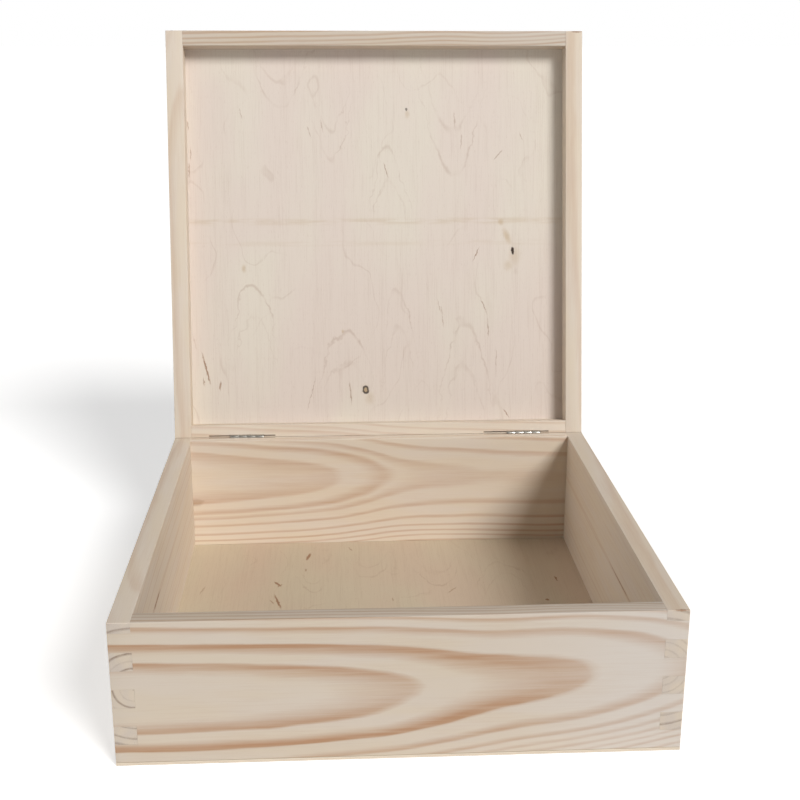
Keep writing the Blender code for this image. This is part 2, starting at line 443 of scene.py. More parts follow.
# Noise in the pine, as the size of its patches along the grain, inward and up, and its swing.
WANDER_SIZE = (90, 24, 24)
WANDER_SWING = 0.8
RIPPLE_SIZE = (26, 7, 7)
RIPPLE_SWING = 0.3
FIBRE_SIZE = (24, 0.6, 0.6)
FIBRE_SWING = 0.2
STREAK_SIZE = (120, 2.2, 2.2)
STREAK_SPAN = (0.75, 1.2)
PATCH_SIZE = (70, 18, 18)
PATCH_SWING = 0.12
TINT_SIZE = (60, 9, 9)
TINT_MOST = 0.3
STAIN_SIZE = (6, 1.2, 1.2)
STAIN_RAGGED = 0.5
STAIN_FADE = (0.35, 1.0)
RING_RELIEF = 0.6


def latewood_level(shader, radius, rings):
    """How much latewood there is at a radius."""
    share = shader.math("DIVIDE", radius, LARGEST_RADIUS)
    level = None
    for first in range(0, len(rings), RINGS_PER_RAMP):
        stops = [(0.0, 0.0)]
        for end, solid, rise, fall, darkness in rings[first : first + RINGS_PER_RAMP]:
            stops.append(((end - solid - rise) / LARGEST_RADIUS, 0.0))
            stops.append(((end - solid) / LARGEST_RADIUS, darkness))
            stops.append((end / LARGEST_RADIUS, darkness))
            stops.append(((end + fall) / LARGEST_RADIUS, 0.0))
        part = shader.ramp(share, stops)
        level = part if level is None else shader.math("MAXIMUM", level, part)
    return level


def strongest(shader, levels):
    """The highest of some levels at each point."""
    result = levels[0]
    for level in levels[1:]:
        result = shader.math("MAXIMUM", result, level)
    return result


def stain(shader, place, ragged, mark):
    """How strongly a stain shows at a point. mark: (centre, half sizes, strength)."""
    centre, half, strength = mark
    local = shader.vector("SUBTRACT", place, centre)
    local = shader.vector("DIVIDE", local, half)
    far = shader.math("ADD", shader.vector("LENGTH", local), shader.centred(ragged, STAIN_RAGGED))
    return shader.between(far, *STAIN_FADE, strength, 0.0)


def ring_place(shader, plank, place):
    """How far a point lies from the pith, and how steeply the rings meet an upright face there."""
    along, inward, up = shader.split(place)
    slow = shader.noise(place, WANDER_SIZE, plank.seed)
    ripple = shader.noise(place, RIPPLE_SIZE, plank.seed + 3, detail=3)
    wander = shader.math("ADD", shader.centred(slow, WANDER_SWING), shader.centred(ripple, RIPPLE_SWING))
    depth = shader.curve(along, plank.pith_depth, -PLANK_REACH, PLANK_REACH)
    height = shader.curve(along, plank.pith_height, -PLANK_REACH, PLANK_REACH)
    from_pith = shader.math("ADD", depth, shader.math("MULTIPLY", inward, plank.toward))
    above_pith = shader.math("SUBTRACT", up, height)
    radius = shader.vector("LENGTH", shader.join(from_pith, above_pith, 0.0))
    radius = shader.math("ADD", radius, wander)
    slant = shader.math("ABSOLUTE", shader.math("DIVIDE", above_pith, radius))
    return radius, slant


def pine(plank, cut):
    """Unfinished pine. cut is face for long grain, end for end grain and worn for a rubbed arris."""
    shader = Shader(f"pine_{plank.name}_{cut}")
    place = shader.object_mm()
    along, _, up = shader.split(place)
    radius, slant = ring_place(shader, plank, place)
    rings = latewood_level(shader, radius, plank.rings)
    if cut != "end":
        contrast = plank.face_contrast
        cut_thin = shader.between(slant, 0.0, THIN_CUT_SLANT, contrast * THIN_CUT, contrast)
        rings = shader.math("MULTIPLY", rings, cut_thin)
    if plank.lid_contrast != 1:
        in_lid = shader.between(up, *LID_FROM_TO, 1.0, plank.lid_contrast)
        rings = shader.math("MULTIPLY", rings, in_lid)

    # Fibres run along the grain, so their noise is drawn out along X.
    fibre = shader.noise(place, FIBRE_SIZE, plank.seed, detail=3, roughness=0.6)
    streak = shader.noise(place, STREAK_SIZE, plank.seed + 5)
    patch = shader.noise(place, PATCH_SIZE, plank.seed + 8, detail=1)
    tint = shader.noise(place, TINT_SIZE, plank.seed + 11, detail=1)

    latewood = shader.math("MULTIPLY", rings, shader.between(streak, *GENTLY, *STREAK_SPAN))
    latewood = shader.math("ADD", latewood, shader.centred(fibre, FIBRE_SWING))
    latewood = shader.math("ADD", latewood, shader.centred(patch, PATCH_SWING))
    early, late, yellower, paler = (
        linear(color, plank.tone) for color in (*WOOD_COLORS[cut], YELLOWER, PALER)
    )
    early = shader.mix(shader.between(tint, *FIRMLY, 0.0, TINT_MOST), early, yellower)
    if plank.pale_end > 0:
        sapwood = shader.between(along, *SAPWOOD_FROM_TO, 0.0, plank.pale_end)
        sapwood = shader.math("MULTIPLY", sapwood, shader.between(patch, *FIRMLY, *SAPWOOD_PATCHES))
        in_lid = shader.between(up, *LID_FROM_TO, 1.0, SAPWOOD_IN_LID)
        sapwood = shader.math("MULTIPLY", sapwood, in_lid)
        early = shader.mix(sapwood, early, paler)
        faded = shader.math("MULTIPLY", sapwood, SAPWOOD_FADES_RINGS)
        latewood = shader.math("MULTIPLY", latewood, shader.math("SUBTRACT", 1.0, faded))
    color = shader.mix(latewood, early, late)
    if plank.stains:
        ragged = shader.noise(place, STAIN_SIZE, plank.seed + 14, detail=3)
        levels = [stain(shader, place, ragged, mark) for mark in plank.stains]
        color = shader.mix(strongest(shader, levels), color, linear(STREAK))
    shader.set("Base Color", color)
    shader.set("Roughness", shader.between(fibre, *GENTLY, *PINE_ROUGHNESS))
    shader.set("Specular IOR Level", WOOD_SPECULAR)
    shader.bump(shader.math("ADD", fibre, shader.math("MULTIPLY", rings, RING_RELIEF)), PINE_RELIEF)
    return shader.material


# --- Birch plywood ------------------------------------------------------------------------------

# Marks in the veneers, in millimetres from the middle of the sheet, with Y toward the back of the
# closed box. Streaks, knots, ring knots and halos are (x, y, length, width, lean from Y in degrees,
# strength), press lines are (y, width, strength), and flames are flame-shaped grain lines: (x, y of
# the tip, width, length, which way the tip points along Y).
PANEL_MARKS = {
    "streaks": [
        (-127.7, 95.4, 30, 1.8, 14, 0.8),
        (-129.5, 105, 9, 1.0, 4, 0.55),
        (-117.5, 108.4, 9.5, 1.7, -6, 0.65),
        (7, -49.4, 14, 1.1, 18, 0.6),
        (90, -60, 13, 1.2, -42, 0.45),
        (107.2, -73.6, 7.5, 1.0, 27, 0.45),
        (73.5, 12.6, 14, 1.0, -25, 0.65),
        (79, 51, 17, 0.9, 23, 0.55),
        (82.2, 67, 18, 0.9, 3, 0.55),
        (48, 58.4, 21, 0.9, 4, 0.35),
        (45.6, 51, 13, 0.9, 15, 0.3),
        (88.2, 93.4, 26, 0.9, 0, 0.35),
        (95.8, 131.8, 10, 1.2, 35, 0.6),
        (-98.8, -90.4, 11, 0.9, 14, 0.4),
        (-49, -77.4, 11, 0.9, 20, 0.35),
        (-39.8, -81.6, 12, 0.9, 12, 0.35),
        (63, -70.4, 15, 0.9, -3, 0.35),
        (58, -85.4, 17, 0.9, 4, 0.35),
        (-50, 114.6, 34, 0.8, -15, 0.4),
        (-21, 115, 21, 1.3, 5, 0.55),
        (-135.5, -61.6, 11, 1.2, 0, 0.5),
        (-137, -50, 13, 1.2, 0, 0.55),
        (-137.2, -82, 9, 1.2, 0, 0.5),
        (-135.5, 76, 15, 1.0, 12, 0.2),
    ],
    "knots": [
        (100.8, 10.4, 7.0, 2.6, 5, 1.0),
        (22.5, -93.4, 2.8, 2.2, 0, 0.7),
    ],
    "halos": [
        (96.5, -0.4, 17, 7, 22, 0.6),
        (92, -11, 7, 6, 0, 0.6),
        (97.5, 21, 12, 10, -20, 0.35),
        (102, 14, 22, 13, 0, 0.3),
        (-98.5, 22, 8.5, 5, 0, 0.55),
        (-6.8, 119, 14, 11, 0, 0.3),
        (-9.8, 112.6, 12, 9, 0, 0.35),
        (-26.2, 69, 4, 3, 0, 0.6),
        (23, -90, 9, 5, 0, 0.4),
    ],
    "ring_knots": [
        (-9.8, 112.6, 6.8, 5.0, 8, 0.9),
    ],
    "press_lines": [
        (-12.1, 2.2, 0.3),
        (4.1, 1.8, 0.13),
    ],
    "flames": [
        (-32, -56, 15, 42, 1),
        (8, -66, 17, 48, -1),
        (56, -48, 24, 60, 1),
        (-24, 68, 21, 44, -1),
        (14, 40, 15, 52, -1),
        (-92, 36, 18, 40, -1),
        (64, 62, 20, 70, -1),
        (-70, -96, 22, 34, 1),
    ],
}
FLOOR_MARKS = {
    "flames": [
        (-10, 74, 16, 34, -1),
        (38, 58, 18, 40, -1),
        (84, 96, 20, 44, 1),
        (-48, 52, 12, 30, -1),
    ],
    "streaks": [
        (-53.5, 111, 16, 2.7, 12, 0.88),
        (-55, 88, 6, 2.2, 0, 0.56),
        (-74, 66, 12, 2.3, -31, 0.88),
        (-72.5, 63.5, 7, 1.9, 40, 0.69),
        (-73, 39, 27, 2.3, -13, 0.88),
        (-76.8, 38.5, 9, 1.4, -25, 0.5),
        (120, 65.5, 10, 1.9, -5, 0.88),
        (108.5, 33, 4, 3.2, 0, 0.88),
        (-23, 123.5, 10, 1.6, -20, 0.44),
        (45.8, 51, 15, 1.6, 35, 0.44),
        (4.5, 38.5, 7, 1.6, 0, 0.44),
        (-125, 58.5, 17, 1.5, 12, 0.38),
    ],
}

# Noise in the veneers, as the size of its patches across the sheet, along its grain and through
# it, and its swing.
SHADE_SIZE = (55, 120, 20)
VENEER_FIBRE_SIZE = (0.45, 26, 9)
VENEER_FIBRE_SWING = 0.24
BAND_SIZE = (3.5, 150, 9)
BAND_SWING = 0.1
PORE_SIZE = (0.3, 3.6, 9)
PORE_FROM_TO = (0.64, 0.74)
PORE_DARKNESS = 0.18
# Contour lines: their spacing, how far the veneer's relief moves them, as a number of spacings,
# and a line's sharp and soft side, as shares of a spacing.
CONTOUR_SPACING = 46.0
CONTOUR_SWING = 6.0
CONTOUR_SHARP = 0.03
CONTOUR_SOFT = 0.08
CONTOUR_SIZE = (75, 120, 30)
CONTOUR_FADE_SIZE = (30, 45, 30)
CONTOUR_FADE = (0.42, 0.64)
CONTOUR_DARKNESS = (0.02, 0.15)
# Flames, as shares of a flame's own size: the width of its lines, how far inside the outer line
# the inner one lies and how strong it is, and where the lines die away at its sides.
FLAME_LINE = 0.06
FLAME_NESTING = 0.5
FLAME_INNER = 0.6
FLAME_SIDES = (0.5, 1.25)
FLAME_STRENGTH = 0.26
FLAME_FAINTEST = 0.15
FLAME_DRIFT = 9.0
FLAME_DRIFT_SIZE = (16, 20, 9)
FLAME_BREAK_SIZE = (12, 16, 9)
# A press line is solid out to the first share of its width and gone at the second.
PRESS_SOLID_GONE = (0.3, 1.6)
PRESS_BREAK_SIZE = (22, 3.0, 9)
MARK_RAGGED = 1.1
MARK_RAGGED_SIZE = (1.1, 3.0, 9)
# Other marks are solid inside the first share of their size and gone at the second.
STREAK_FADE = (0.45, 1.0)
HALO_FADE = (0.1, 1.0)
KNOT_FADE = (0.6, 1.0)
RING_KNOT_FADE = (0.8, 1.05)
RING_KNOT_HEART = 0.62
RING_KNOT_PALE = 0.85
THROUGH_SHEET = 1000.0


def spot(shader, place, mark, fade):
    """How far inside one mark a point lies, from 0 outside it to the mark's strength."""
    x, y, length, width, lean, strength = mark
    inputs = {
        "Vector": place,
        "Location": (x, y, 0.0),
        "Rotation": (0.0, 0.0, math.radians(-lean)),
        "Scale": (width / 2, length / 2, THROUGH_SHEET),
    }
    local = shader.node("Mapping", inputs, vector_type="TEXTURE").outputs[0]
    return shader.between(shader.vector("LENGTH", local), *fade, strength, 0.0)


def flame_lines(shader, place, flames):
    """Nested lines that run up both sides of each flame, faint and dying away."""
    x, y, _ = shader.split(place)
    levels = []
    for x_tip, y_tip, width, length, way in flames:
        across = shader.math("DIVIDE", shader.math("SUBTRACT", x, x_tip), width)
        along = shader.math("DIVIDE", shader.math("SUBTRACT", y, y_tip), length * way)
        inside = shader.math("ADD", along, shader.math("MULTIPLY", across, across))
        outer = shader.between(shader.math("ABSOLUTE", inside), 0.0, FLAME_LINE, 1.0, 0.0)
        inner = shader.math("ABSOLUTE", shader.math("ADD", inside, FLAME_NESTING))
        inner = shader.between(inner, 0.0, FLAME_LINE, FLAME_INNER, 0.0)
        reach = shader.between(shader.math("ABSOLUTE", across), *FLAME_SIDES, 1.0, 0.0)
        levels.append(shader.math("MULTIPLY", shader.math("MAXIMUM", outer, inner), reach))
    return strongest(shader, levels)


def contour_lines(shader, place, seed):
    """Lines that run up the sheet in long flames, each sharp on one side."""
    x, _, _ = shader.split(place)
    relief = shader.noise(place, CONTOUR_SIZE, seed + 9, detail=4, roughness=0.4)
    across = shader.math("DIVIDE", x, CONTOUR_SPACING)
    phase = shader.math("ADD", across, shader.math("MULTIPLY", relief, CONTOUR_SWING))
    phase = shader.math("FRACT", phase)
    sharp = shader.between(phase, 0.0, CONTOUR_SHARP)
    line = shader.math("MULTIPLY", sharp, shader.between(phase, CONTOUR_SHARP, CONTOUR_SOFT, 1.0, 0.0))
    fading = shader.noise(place, CONTOUR_FADE_SIZE, seed + 12)
    return shader.math("MULTIPLY", line, shader.between(fading, *CONTOUR_FADE, *CONTOUR_DARKNESS))


def press_line(shader, place, line, seed):
    """A faint broken line that the press left across the sheet. line: (y, width, strength)."""
    y_line, width, strength = line
    _, y, _ = shader.split(place)
    solid, gone = (share * width for share in PRESS_SOLID_GONE)
    near = shader.math("ABSOLUTE", shader.math("SUBTRACT", y, y_line))
    level = shader.between(near, solid, gone, strength, 0.0)
    broken = shader.noise(place, PRESS_BREAK_SIZE, seed + 18)
    return shader.math("MULTIPLY", level, shader.between(broken, *SHARPLY))


def veneer(name, colors, seed, marks):
    """Rotary-cut birch: straight fine fibre, slow contour lines, pores, and its own marks."""
    shader = Shader(name)
    place = shader.object_mm()
    slow = shader.noise(place, SHADE_SIZE, seed)
    fibre = shader.noise(place, VENEER_FIBRE_SIZE, seed + 2, detail=3, roughness=0.6)
    band = shader.noise(place, BAND_SIZE, seed + 4)
    pore = shader.noise(place, PORE_SIZE, seed + 6, detail=1)

    color = shader.mix(shader.between(slow, *SHARPLY), *(linear(color) for color in colors))
    shade = shader.math(
        "ADD",
        shader.centred(fibre, VENEER_FIBRE_SWING),
        shader.centred(band, BAND_SWING),
    )
    pores = shader.between(pore, *PORE_FROM_TO, 0.0, PORE_DARKNESS)
    lines = shader.math("MAXIMUM", pores, contour_lines(shader, place, seed))
    color = shader.mix(shader.math("ADD", shade, lines), color, linear(STREAK))

    ragged = shader.noise(place, MARK_RAGGED_SIZE, seed + 15, detail=3)
    bent = shader.vector("ADD", place, shader.join(shader.centred(ragged, MARK_RAGGED), 0.0, 0.0))
    for line in marks.get("press_lines", ()):
        color = shader.mix(press_line(shader, place, line, seed), color, linear(HALO))
    if "flames" in marks:
        drift = shader.noise(place, FLAME_DRIFT_SIZE, seed + 21, detail=3)
        drift = shader.centred(drift, FLAME_DRIFT)
        swayed = shader.vector("ADD", bent, shader.join(drift, drift, 0.0))
        broken = shader.noise(place, FLAME_BREAK_SIZE, seed + 24)
        level = shader.math("MULTIPLY", flame_lines(shader, swayed, marks["flames"]), FLAME_STRENGTH)
        level = shader.math("MULTIPLY", level, shader.between(broken, *SHARPLY, FLAME_FAINTEST, 1.0))
        color = shader.mix(level, color, linear(STREAK))
    if "halos" in marks:
        level = strongest(shader, [spot(shader, bent, mark, HALO_FADE) for mark in marks["halos"]])
        color = shader.mix(level, color, linear(HALO))
    if "streaks" in marks:
        level = strongest(shader, [spot(shader, bent, mark, STREAK_FADE) for mark in marks["streaks"]])
        color = shader.mix(level, color, linear(STREAK))
    for mark in marks.get("ring_knots", ()):
        x, y, length, width, lean, _ = mark
        heart = (x, y, length * RING_KNOT_HEART, width * RING_KNOT_HEART, lean, RING_KNOT_PALE)
        color = shader.mix(spot(shader, bent, mark, RING_KNOT_FADE), color, linear(KNOT))
        color = shader.mix(spot(shader, bent, heart, KNOT_FADE), color, linear(HALO))
    if "knots" in marks:
        level = strongest(shader, [spot(shader, bent, mark, KNOT_FADE) for mark in marks["knots"]])
        color = shader.mix(level, color, linear(KNOT))
    shader.set("Base Color", color)
    shader.set("Roughness", shader.between(fibre, *GENTLY, *VENEER_ROUGHNESS))
    shader.set("Specular IOR Level", WOOD_SPECULAR)
    shader.bump(shader.math("SUBTRACT", fibre, pores), VENEER_RELIEF)
    return shader.material


# The plywood's edge: its core is solid out to one share of the sheet's thickness from the middle
# and gone at another, and a glue line with painted contact shade starts at one depth below the sheet's
# faces and is full at another.
EDGE_WAVER_SIZE = (14, 14, 4)
EDGE_WAVER = 0.12
EDGE_FIBRE_SIZE = (6, 6, 0.12)
EDGE_PORE_SIZE = (0.25, 0.25, 0.5)
CORE_SOLID_GONE = (0.17, 0.2)
CORE_DARKNESS = (0.3, 0.6)
EDGE_GLUE_SHADE_DEPTHS = (0.42, 0.2)
EDGE_GLUE_SHADE_DARKNESS = 0.75


def ply_edge(name, thickness):
    """The edge of a three-ply sheet: two pale faces, a darker crossed core, and arrises darkened by a
    glue line and painted contact shade.
    """
    shader = Shader(name)
    place = shader.object_mm()
    _, _, z = shader.split(place)
    waver = shader.centred(shader.noise(place, EDGE_WAVER_SIZE), EDGE_WAVER)
    height = shader.math("ABSOLUTE", shader.math("ADD", z, waver))
    solid, gone = (share * thickness for share in CORE_SOLID_GONE)
    core = shader.between(height, solid, gone, 1.0, 0.0)
    # Painted contact shade: the edge darkens toward both faces, over a glue line where the boards sit on
    # the sheet.
    starts, full = (thickness / 2 - depth for depth in EDGE_GLUE_SHADE_DEPTHS)
    glue_and_shade = shader.between(height, starts, full, 0.0, EDGE_GLUE_SHADE_DARKNESS)
    fibre = shader.noise(place, EDGE_FIBRE_SIZE, detail=3)
    pores = shader.noise(place, EDGE_PORE_SIZE)
    color = shader.mix(fibre, *(linear(color) for color in FACE_PLY_COLORS))
    core = shader.math("MULTIPLY", core, shader.between(pores, *GENTLY, *CORE_DARKNESS))
    color = shader.mix(core, color, linear(CROSS_PLY))
    color = shader.mix(glue_and_shade, color, linear(GLUE_AND_SHADE))
    shader.set("Base Color", color)
    shader.set("Roughness", EDGE_ROUGHNESS)
    shader.bump(pores, EDGE_RELIEF)
    return shader.material


# --- Slots and nickel ---------------------------------------------------------------------------

SCORCH_SIZE = (9, 1, 0.8)
SCRATCH_SIZE = (0.6, 0.1, 0.1)


def sawn_slot():
    """The walls of a saw slot: browned by the blade."""
    shader = Shader("sawn_slot")
    scorch = shader.noise(shader.object_mm(), SCORCH_SIZE, detail=3)
    shader.set("Base Color", shader.mix(scorch, *(linear(color) for color in SCORCH_COLORS)))
    shader.set("Roughness", SLOT_ROUGHNESS)
    shader.bump(scorch, SLOT_RELIEF)
    return shader.material


def nickel():
    """Nickel plating, finely scratched along the hinge."""
    shader = Shader("nickel")
    scratch = shader.noise(shader.object_mm(), SCRATCH_SIZE, detail=3)
    shader.set("Base Color", shader.mix(scratch, *(linear(color) for color in NICKEL_COLORS)))
    shader.set("Metallic", 1.0)
    shader.set("Roughness", shader.between(scratch, *GENTLY, *NICKEL_ROUGHNESS))
    return shader.material


# --- Places -------------------------------------------------------------------------------------

LID_HINGE = frame["joints"][0]
AXIS = Vector(LID_HINGE["pos_m"])
OPEN_ANGLE = math.radians(LID_HINGE["range_deg"][1])
LID_OPEN = Matrix.Translation(AXIS) @ Matrix.Rotation(-OPEN_ANGLE, 4, "X") @ Matrix.Translation(-AXIS)


def closed_box(node):
    """The lowest and highest corner of a lid node with the lid closed."""
    close = LID_OPEN.inverted()
    points = [close @ vertex.co for vertex in frame["nodes"][node].data.vertices]
    low = Vector([min(p[i] for p in points) for i in range(3)])
    high = Vector([max(p[i] for p in points) for i in range(3)])
    return low, high


FLOOR_LOW, FLOOR_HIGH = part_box("base_plywood_bottom")
FRONT_LOW, FRONT_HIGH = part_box("base_front_board")
LEFT_LOW, LEFT_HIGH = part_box("base_left_board")
PANEL_LOW, PANEL_HIGH = closed_box("lid_plywood_panel")
LID_RIM = closed_box("lid_front_board")[0].z
WIDTH = FLOOR_HIGH.x - FLOOR_LOW.x
DEPTH = FLOOR_HIGH.y - FLOOR_LOW.y
END_BOARD = FRONT_HIGH.y - FRONT_LOW.y
SIDE_BOARD = LEFT_HIGH.x - LEFT_LOW.x
BASE_RIM = FRONT_HIGH.z
PLY_THICKNESS_MM = (FLOOR_HIGH.z - FLOOR_LOW.z) / MM
LID_FROM_TO = (BASE_RIM / MM - LID_FADE, BASE_RIM / MM + LID_FADE)


def plank_place(side):
    """A plank's own axes in the closed box."""
    turns = {
        "front": (0, (0, -DEPTH / 2)),
        "back": (180, (0, DEPTH / 2)),
        "left": (-90, (-WIDTH / 2, 0)),
        "right": (90, (WIDTH / 2, 0)),
    }
    degrees, (x, y) = turns[side]
    return Matrix.Translation((x, y, 0)) @ Matrix.Rotation(math.radians(degrees), 4, "Z")


# --- Boards -------------------------------------------------------------------------------------

# A board's materials, and the four planks' sets of them.
CUTS = ["face", "end", "worn"]
PINES = {plank.name: [pine(plank, cut) for cut in CUTS] for plank in (FRONT, BACK, LEFT, RIGHT)}
SLOT_WOOD = sawn_slot()


def finger_rows(levels, first_reaches):
    """Rows of [low, high, reaches] that alternate, with a hairline shared between the two boards."""
    rows = []
    for i in range(len(levels) - 1):
        rows.append([levels[i], levels[i + 1], (i % 2 == 0) == first_reaches])
    for below, above in zip(rows, rows[1:]):
        shift = -HAIRLINE / 2 if below[2] else HAIRLINE / 2
        below[1] += shift
        above[0] += shift
    return rows


def board_bmesh(rows, long_half, short_half, thickness):
    """A board with fingers at both ends, on its plank's axes."""
    right = []
    for low, high, reaches in rows:
        half = long_half if reaches else short_half
        right += [(half, low), (half, high)]
    outline = right + [(-x, z) for x, z in reversed(right)]
    bm = bmesh.new()
    outer = [bm.verts.new((x, 0.0, z)) for x, z in outline]
    inner = [bm.verts.new((x, thickness, z)) for x, z in outline]
    bm.faces.new(outer)
    bm.faces.new(reversed(inner))
    for i in range(len(outline)):
        j = (i + 1) % len(outline)
        bm.faces.new((outer[i], inner[i], inner[j], outer[j]))
    bmesh.ops.recalc_face_normals(bm, faces=bm.faces)
    return bm


def ease_arrises(bm, rim, long_half):
    """Rubs down the edges that hands and sandpaper reach: the rim's, and the box's corners."""
    chosen = []
    for edge in bm.edges:
        a, b = (vertex.co for vertex in edge.verts)
        at_rim = abs(a.z - rim) < TOUCHING and abs(b.z - rim) < TOUCHING
        lengthways = abs(a.x - b.x) > MM
        at_end = abs(abs(a.x) - long_half) < TOUCHING and abs(a.x - b.x) < TOUCHING
        outer_corner = at_end and abs(a.y) + abs(b.y) < TOUCHING
        if outer_corner or (at_rim and (lengthways or at_end)):
            chosen.append(edge)
    bmesh.ops.bevel(
        bm,
        geom=chosen,
        offset=ARRIS,
        segments=ARRIS_STEPS,
        profile=0.5,
        affect="EDGES",
        clamp_overlap=True,
        material=CUTS.index("worn"),
    )


def name_cuts(bm):
    """Gives end grain its own material, by which way a face looks."""
    for face in bm.faces:
        if face.material_index == CUTS.index("face") and abs(face.normal.x) > LOOKS_ALONG:
            face.material_index = CUTS.index("end")


def bevel_rear(bm, place, way):
    """Cuts the rear edge of the rim along the slope that the open lid rests on."""
    slope = OPEN_ANGLE / 2
    normal = Vector((0.0, math.sin(slope), way * -math.cos(slope)))
    gap = abs(AXIS.z - BASE_RIM)
    point = AXIS + Vector((0.0, 0.0, way * gap / math.cos(slope)))
    inverse = place.inverted()
    cut = bmesh.ops.bisect_plane(
        bm,
        geom=bm.verts[:] + bm.edges[:] + bm.faces[:],
        plane_co=inverse @ point,
        plane_no=inverse.to_3x3() @ normal,
        clear_outer=True,
    )
    edges = [item for item in cut["geom_cut"] if isinstance(item, bmesh.types.BMEdge)]
    bmesh.ops.triangle_fill(bm, use_beauty=True, use_dissolve=True, edges=edges)
    bmesh.ops.recalc_face_normals(bm, faces=bm.faces)


def object_from(name, bm, materials):
    """A new object from a bmesh, which is used up."""
    mesh = bpy.data.meshes.new(name)
    bm.to_mesh(mesh)
    bm.free()
    for material in materials:
        mesh.materials.append(material)
    obj = bpy.data.objects.new(name, mesh)
    bpy.context.scene.collection.objects.link(obj)
    return obj


def apply_modifiers(obj):
    """Makes an object's modifiers part of its mesh."""
    bpy.context.view_layer.update()
    graph = bpy.context.evaluated_depsgraph_get()
    mesh = bpy.data.meshes.new_from_object(obj.evaluated_get(graph))
    obj.modifiers.clear()
    obj.data = mesh


def prism_along(axis, outline, low, high):
    """A bmesh prism on a 2-D outline: (y, z) points along X, or (x, z) points along Y."""
    bm = bmesh.new()
    rings = []
    for value in (low, high):
        if axis == "X":
            rings.append([bm.verts.new((value, a, b)) for a, b in outline])
        else:
            rings.append([bm.verts.new((a, value, b)) for a, b in outline])
    bm.faces.new(rings[0])
    bm.faces.new(reversed(rings[1]))
    for i in range(len(outline)):
        j = (i + 1) % len(outline)
        bm.faces.new((rings[0][i], rings[1][i], rings[1][j], rings[0][j]))
    bmesh.ops.recalc_face_normals(bm, faces=bm.faces)
    return bm


def circle(middle, radius, steps):
    """Points on a circle, with a side rather than a point at angle 0."""
    points = []
    for i in range(steps):
        angle = 2 * math.pi * (i + 0.5) / steps
        points.append((middle[0] + radius * math.cos(angle), middle[1] + radius * math.sin(angle)))
    return points


def cut_slots(board, way):
    """Plunges the hinge slots into a closed board's rim and makes room for the barrels."""
    radius = ((SLOT_LENGTH / 2) ** 2 + SLOT_DEPTH**2) / (2 * SLOT_DEPTH)
    height = way * (abs(AXIS.z - BASE_RIM) + SLOT_DEPTH - radius)
    near, far = SLOT_FROM_AXIS
    cutters = []
    for label, centre in zip(HINGES, SLOT_CENTRES):
        disc = prism_along("Y", circle((centre, height), radius, SLOT_STEPS), -far, -near)
        cutters.append(object_from(f"{label}_disc", disc, [SLOT_WOOD]))
        low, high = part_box(f"{label}_hinge_pin")
        room = circle((0.0, 0.0), BARREL_ROOM, BARREL_STEPS)
        barrel = prism_along("X", room, low.x - BARREL_CLEARANCE, high.x + BARREL_CLEARANCE)
        cutters.append(object_from(f"{label}_room", barrel, [SLOT_WOOD]))
    for cutter in cutters:
        cutter.location = AXIS
        modifier = board.modifiers.new(cutter.name, "BOOLEAN")
        modifier.operation = "DIFFERENCE"
        modifier.solver = "EXACT"
        modifier.material_mode = "TRANSFER"
        modifier.object = cutter
    apply_modifiers(board)
    for cutter in cutters:
        bpy.data.objects.remove(cutter)


def add_board(name, side, rows, way, body, rim):
    """One board in place of the CAD node of that name. way is -1 in the base and 1 in the lid."""
    runs_across = side in ("front", "back")
    long_half = WIDTH / 2 if runs_across else DEPTH / 2
    thickness = END_BOARD if runs_across else SIDE_BOARD
    short_half = long_half - (SIDE_BOARD if runs_across else END_BOARD) - HAIRLINE
    place = plank_place(side)
    bm = board_bmesh(rows, long_half, short_half, thickness)
    ease_arrises(bm, rim, long_half)
    name_cuts(bm)
    if side != "front":
        bevel_rear(bm, place, way)
    board = object_from(f"{name}_wood", bm, PINES[side])
    board.matrix_world = place
    if side == "back":
        cut_slots(board, way)
    if body == "lid":
        board.matrix_world = LID_OPEN @ place
    board.data.shade_smooth()
    board.data.set_sharp_from_angle(angle=math.radians(SHARP_FROM))
    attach(board, body)
    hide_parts(name)


def add_boards():
    """The four boards of the base, and the four of the lid that were sawn from the same planks."""
    levels = [FLOOR_HIGH.z + GLUE_LINE]
    levels += [FLOOR_HIGH.z + FINGER * (i + 1) for i in range(BASE_CHANGEOVERS)]
    levels.append(BASE_RIM)
    for side in PINES:
        rows = finger_rows(levels, first_reaches=side in ("front", "back"))
        add_board(f"base_{side}_board", side, rows, -1, "base", BASE_RIM)
    levels = [LID_RIM, LID_RIM + LID_RIM_FINGER, PANEL_LOW.z - GLUE_LINE]
    for side in PINES:
        rows = finger_rows(levels, first_reaches=side in ("left", "right"))
        add_board(f"lid_{side}_board", side, rows, 1, "lid", LID_RIM)


def add_sheet(name, low, high, body, materials):
    """A plywood sheet in place of its CAD node. materials: upper face, lower face and edge."""
    bm = bmesh.new()
    bmesh.ops.create_cube(bm, size=1.0)
    bmesh.ops.scale(bm, vec=high - low, verts=bm.verts)
    bmesh.ops.bevel(
        bm,
        geom=bm.edges[:],
        offset=PLY_ARRIS,
        segments=PLY_ARRIS_STEPS,
        profile=0.5,
        affect="EDGES",
    )
    upper, lower, edge = range(3)
    for face in bm.faces:
        face.material_index = edge
        if abs(face.normal.z) > LOOKS_UP:
            face.material_index = upper if face.normal.z > 0 else lower
    sheet = object_from(f"{name}_wood", bm, materials)
    sheet.matrix_world = Matrix.Translation((low + high) / 2)
    if body == "lid":
        sheet.matrix_world = LID_OPEN @ sheet.matrix_world
    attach(sheet, body)
    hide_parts(name)


def add_bottom():
    """The base's sheet, with the floor of the box as its upper face."""
    inside = veneer("birch_inside_floor", FLOOR_COLORS, seed=3.0, marks=FLOOR_MARKS)
    underside = veneer("birch_underside", VENEER_COLORS, seed=31.0, marks={})
    edge = ply_edge("birch_bottom_edge", PLY_THICKNESS_MM)
    add_sheet("base_plywood_bottom", FLOOR_LOW, FLOOR_HIGH, "base", [inside, underside, edge])


